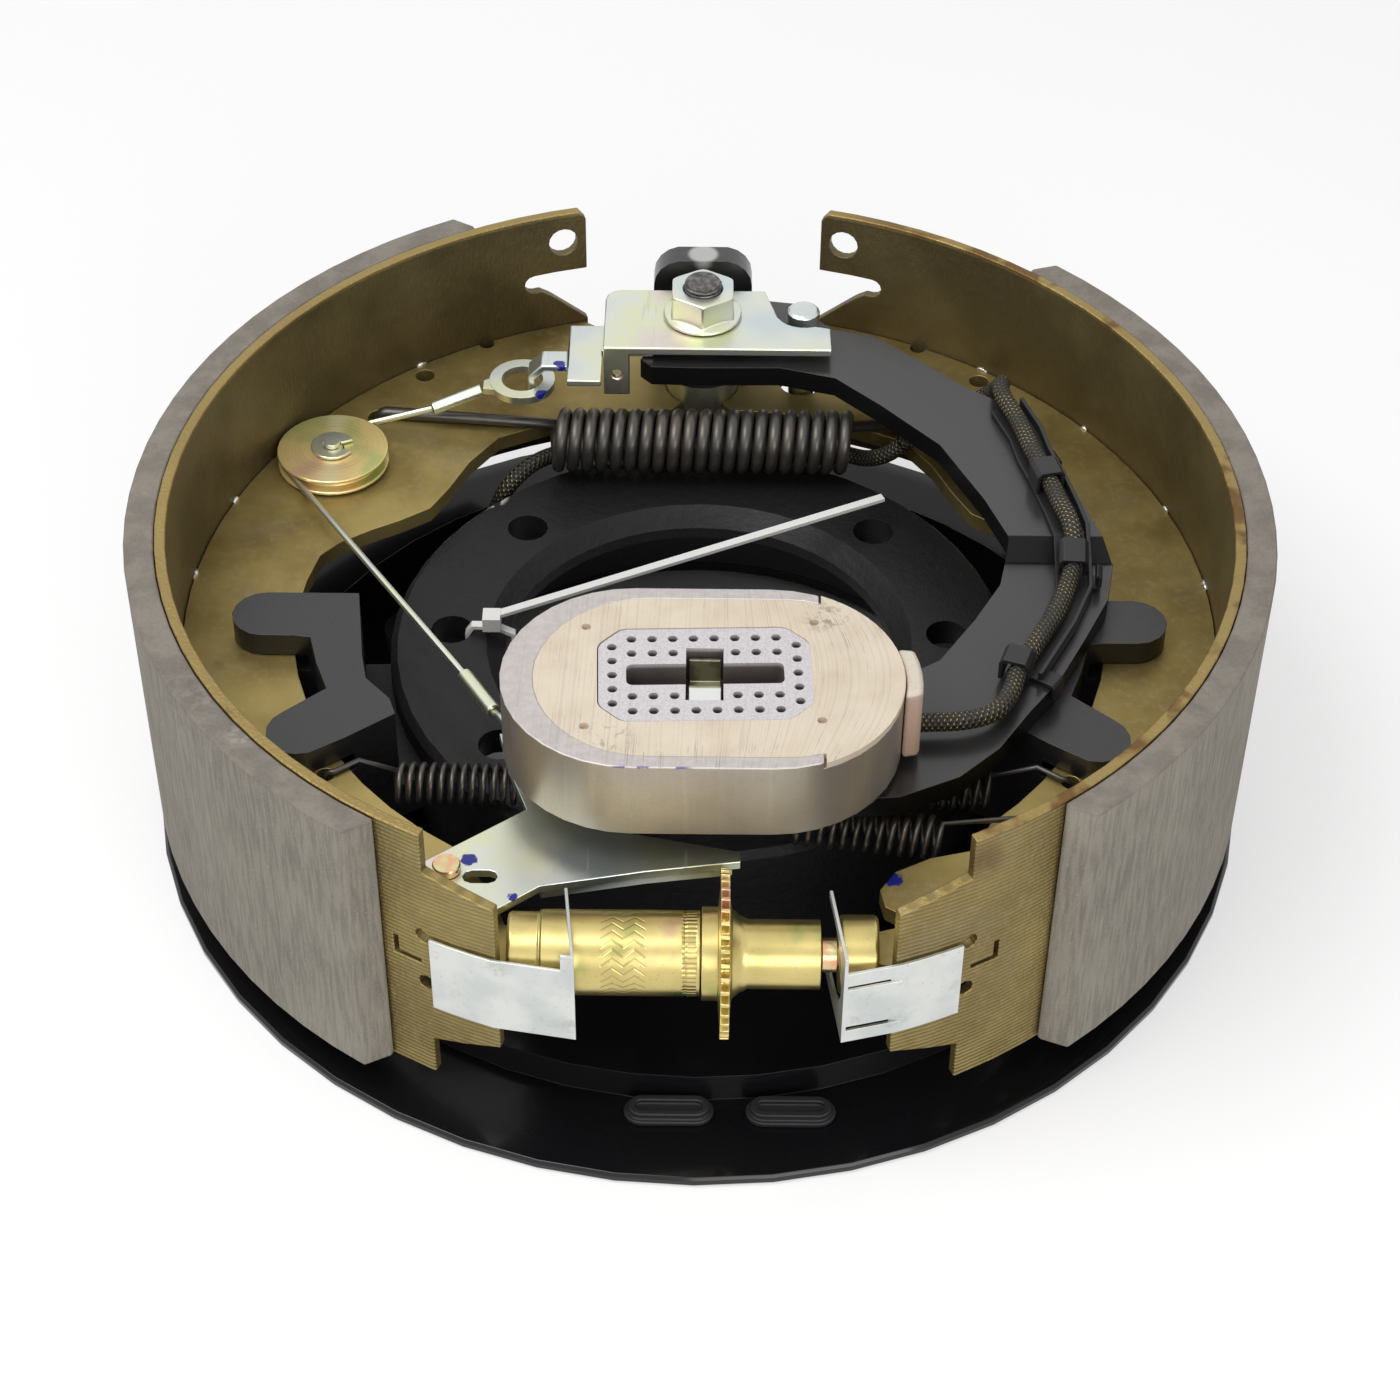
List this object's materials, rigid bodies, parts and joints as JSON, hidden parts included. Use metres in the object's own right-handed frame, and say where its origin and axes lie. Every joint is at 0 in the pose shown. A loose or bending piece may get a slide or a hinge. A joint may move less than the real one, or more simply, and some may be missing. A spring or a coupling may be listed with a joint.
{
  "type": "electric drum brake assembly",
  "caption": "Round electric trailer brake: backing plate, cast spider, two lined shoes, magnet on a hooked arm, return springs and a cable-worked star wheel adjuster.",
  "frame": {"origin": "on the wheel axis, at the level of the backing plate's rim, on which the assembly lies", "axes": "+Z along the wheel axis away from the trailer's middle, +Y towards the anchor stud, +X towards the primary shoe"},
  "size_m": [0.311, 0.311, 0.1007],
  "materials": {
    "black_gloss": "glossy black paint",
    "black_cast": "satin black coating",
    "olive_zinc": "olive-gold zinc plate",
    "lining": "grey-brown moulded friction material",
    "bright_zinc": "bright zinc plate",
    "yellow_zinc": "yellow zinc plate",
    "copper": "coppery plate",
    "spring_steel": "dark oiled steel",
    "magnet_steel": "grey sintered steel",
    "friction_cream": "cream friction material",
    "rubber": "matt black rubber",
    "black_plastic": "satin black plastic",
    "sleeve": "braided black sleeve with gold flecks",
    "nylon": "white nylon"
  },
  "bodies": {
    "frame": {"spider": "black_cast", "backing_plate": "black_gloss", "access_plug_left": "rubber", "access_plug_right": "rubber", "lead_grommet": "rubber", "plate_rivet_1": "black_cast", "plate_rivet_2": "black_cast", "plate_rivet_3": "black_cast", "plate_rivet_4": "black_cast", "anchor_stud": "bright_zinc", "anchor_nut": "bright_zinc", "anchor_plate": "bright_zinc", "cable_hook_plate": "bright_zinc", "cable_tie": "nylon", "return_spring": "spring_steel", "shoe_spring": "spring_steel", "lever_spring": "spring_steel", "lead_fixed": "sleeve"},
    "secondary_shoe": {"shoe_rim_left": "olive_zinc", "shoe_web_left": "olive_zinc", "lining_left": "lining", "pulley_pin": "yellow_zinc", "pulley_clip": "bright_zinc", "lever_pin": "copper", "adjuster_barrel": "yellow_zinc", "adjuster_clip_left": "bright_zinc", "adjuster_cable": "bright_zinc", "cable_ferrule_top": "bright_zinc", "cable_ferrule_end": "bright_zinc", "cable_hook": "bright_zinc", "cable_eyelet": "bright_zinc"},
    "primary_shoe": {"shoe_rim_right": "olive_zinc", "shoe_web_right": "olive_zinc", "lining_right": "lining", "adjuster_cap": "yellow_zinc", "adjuster_clip_right": "bright_zinc"},
    "arm": {"actuating_arm": "black_cast", "arm_bushing": "spring_steel", "cam_pin": "bright_zinc", "wire_guide": "black_plastic", "lead_arm": "sleeve", "magnet_post": "bright_zinc", "magnet_spring": "spring_steel"},
    "magnet": {"magnet_shell": "magnet_steel", "magnet_face": "friction_cream", "magnet_core": "magnet_steel", "magnet_clip": "magnet_steel", "magnet_lug": "friction_cream"},
    "lever": {"adjuster_lever": "bright_zinc"},
    "pulley": {"pulley": "yellow_zinc"},
    "adjusting_screw": {"star_wheel": "yellow_zinc", "thrust_washer": "copper"}
  },
  "joints": [
    {"name": "arm_pivot", "type": "hinge", "parent": "frame", "child": "arm", "pos_m": [0, 0.1063, 0.0738], "axis": [0, 0, 1], "range_deg": [-4, 0]},
    {"name": "secondary_pivot", "type": "hinge", "parent": "frame", "child": "secondary_shoe", "pos_m": [0, 0.1063, 0.05785], "axis": [0, 0, 1], "range_deg": [-0.3, 0]},
    {"name": "primary_pivot", "type": "hinge", "parent": "secondary_shoe", "child": "primary_shoe", "pos_m": [0.038, -0.128, 0.05785], "axis": [0, 0, 1], "range_deg": [-0.3, 0]},
    {"name": "lever_pivot", "type": "hinge", "parent": "secondary_shoe", "child": "lever", "pos_m": [-0.0629, -0.1084, 0.064], "axis": [0, 0, 1], "range_deg": [0, 5], "stiffness_Nm_per_rad": 0.6, "springref_deg": -17.19},
    {"name": "pulley_spin", "type": "hinge", "parent": "secondary_shoe", "child": "pulley", "pos_m": [-0.1086, 0.0648, 0.0635], "axis": [0, 0, 1], "range_deg": [-15, 0]},
    {"name": "screw_spin", "type": "hinge", "parent": "secondary_shoe", "child": "adjusting_screw", "pos_m": [0.0054, -0.128, 0.05785], "axis": [1, 0, 0], "continuous": true},
    {"name": "magnet_slide", "type": "slide", "parent": "arm", "child": "magnet", "axis": [0, 0, 1], "range_m": [-0.0015, 0], "stiffness_N_per_m": 4000, "springref_m": 0.005, "deforming": ["magnet_spring"]}
  ],
  "couplings": [
    {"joint": "secondary_pivot", "follows": "arm_pivot", "ratio": 0.075},
    {"joint": "primary_pivot", "follows": "arm_pivot", "ratio": 0.075},
    {"joint": "pulley_spin", "follows": "lever_pivot", "ratio": -2.5}
  ]
}
